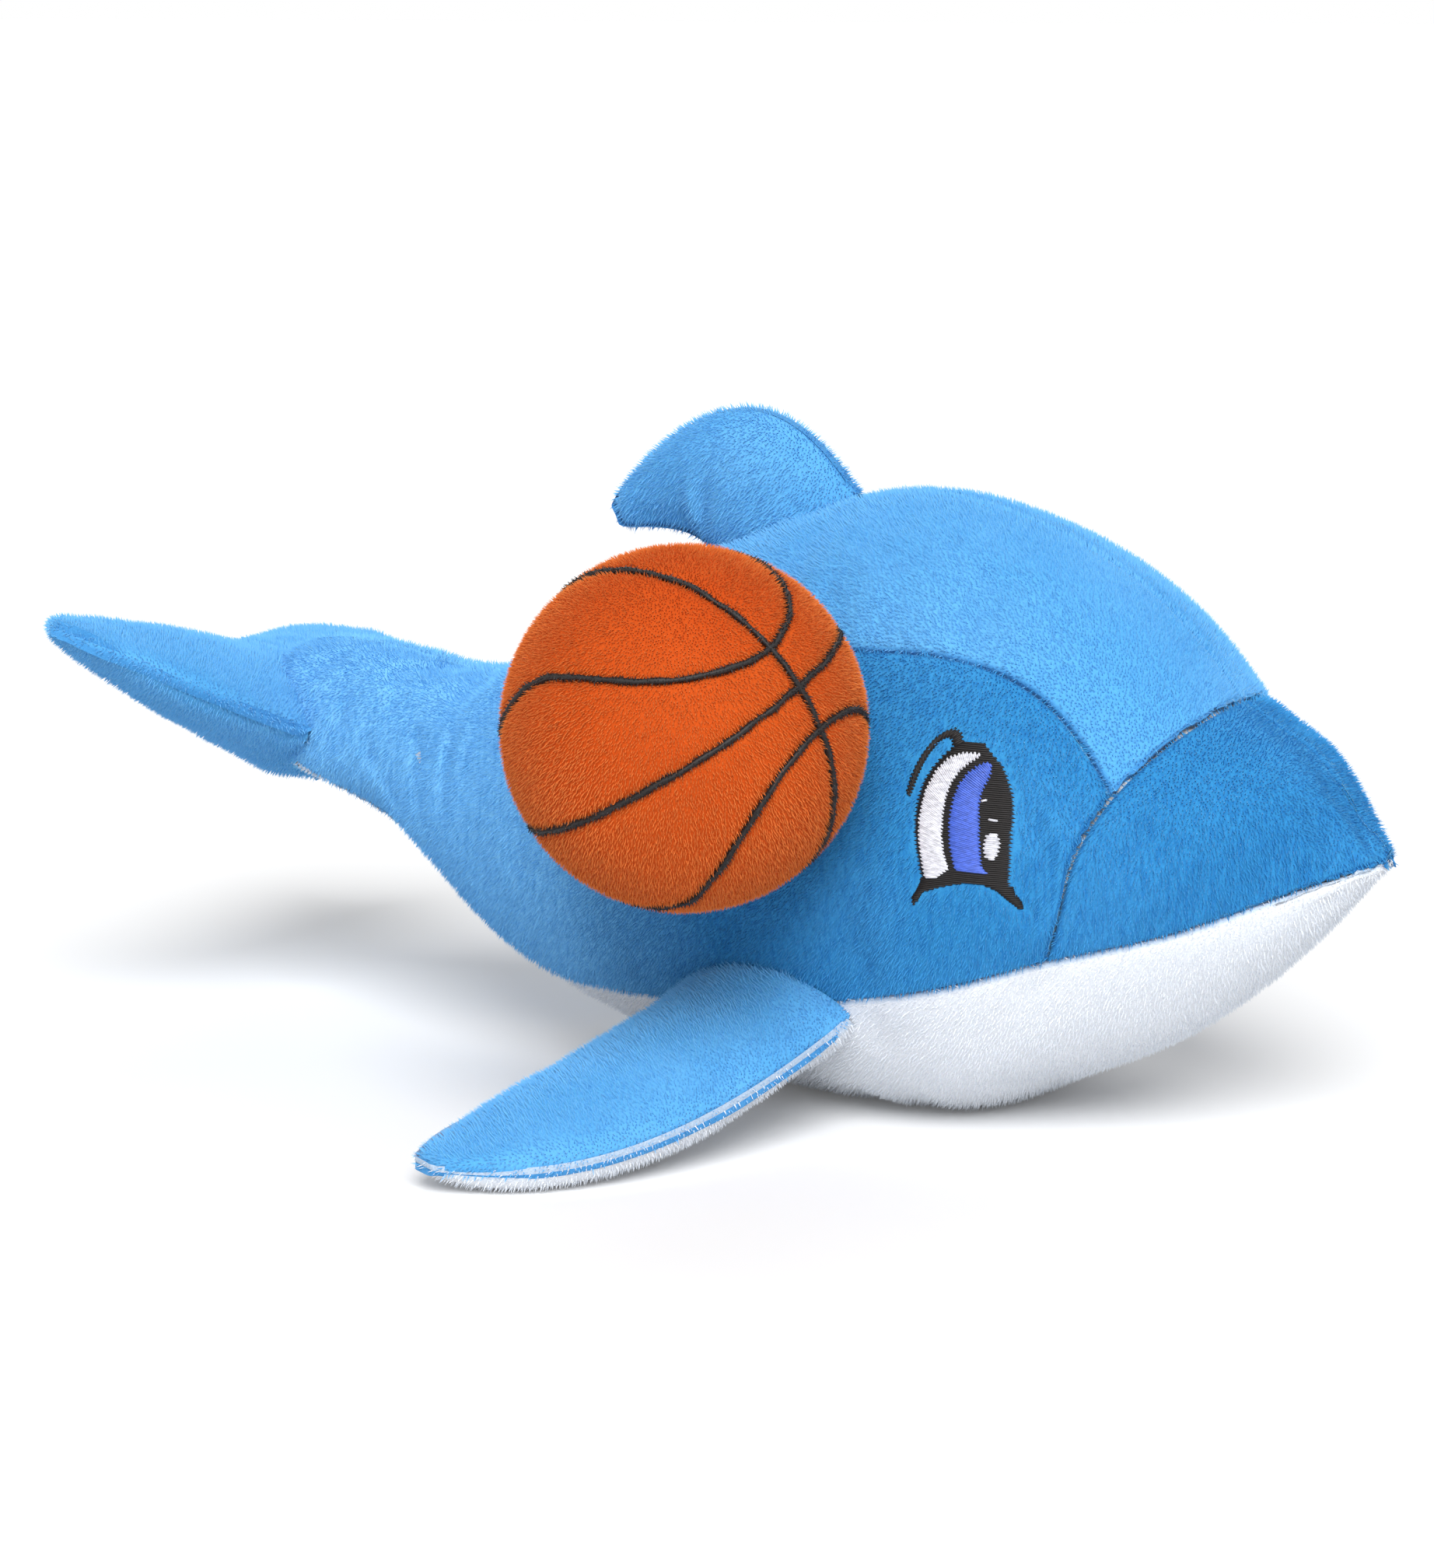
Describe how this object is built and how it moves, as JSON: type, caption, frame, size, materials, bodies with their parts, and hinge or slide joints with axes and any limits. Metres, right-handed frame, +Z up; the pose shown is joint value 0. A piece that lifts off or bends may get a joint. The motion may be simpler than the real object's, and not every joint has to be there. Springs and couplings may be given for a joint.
{
  "type": "plush dolphin",
  "caption": "Stuffed dolphin toy lying on its belly, with a dorsal fin, flippers, tail flukes, embroidered eyes and a plush ball sewn to its side.",
  "frame": {"origin": "in the flat patch of belly that the toy rests on, on its middle plane", "axes": "+X towards the nose, +Y towards the dolphin's left, +Z up; it rests on the plane z = 0"},
  "size_m": [0.3615, 0.3042, 0.1736],
  "materials": {
    "blue_plush": "matte",
    "white_plush": "matte",
    "orange_plush": "matte",
    "black_thread": "satin",
    "white_thread": "satin",
    "blue_thread": "satin",
    "polyester_fill": "matte"
  },
  "bodies": {
    "root": {"body_stuffing": "polyester_fill", "side_panel_right": "blue_plush", "side_panel_left": "blue_plush", "crown_panel_right": "blue_plush", "crown_panel_left": "blue_plush", "snout_panel_right": "blue_plush", "snout_panel_left": "blue_plush", "belly_panel": "white_plush", "fin_panel_right": "blue_plush", "fin_panel_left": "blue_plush", "fin_stuffing": "polyester_fill", "flipper_top_right": "blue_plush", "flipper_top_left": "blue_plush", "flipper_underside_right": "white_plush", "flipper_underside_left": "white_plush", "flipper_stuffing_right": "polyester_fill", "flipper_stuffing_left": "polyester_fill", "fluke_top_right": "blue_plush", "fluke_top_left": "blue_plush", "fluke_underside_right": "blue_plush", "fluke_underside_left": "blue_plush", "fluke_stuffing_right": "polyester_fill", "fluke_stuffing_left": "polyester_fill", "eye_black_right": "black_thread", "eye_black_left": "black_thread", "eye_white_right": "white_thread", "eye_white_left": "white_thread", "eye_blue_right": "blue_thread", "eye_blue_left": "blue_thread", "eye_shine_right": "white_thread", "eye_shine_left": "white_thread", "ball_cover_top": "orange_plush", "ball_cover_bottom": "orange_plush", "ball_stuffing": "polyester_fill", "ball_lines": "black_thread"}
  },
  "joints": []
}
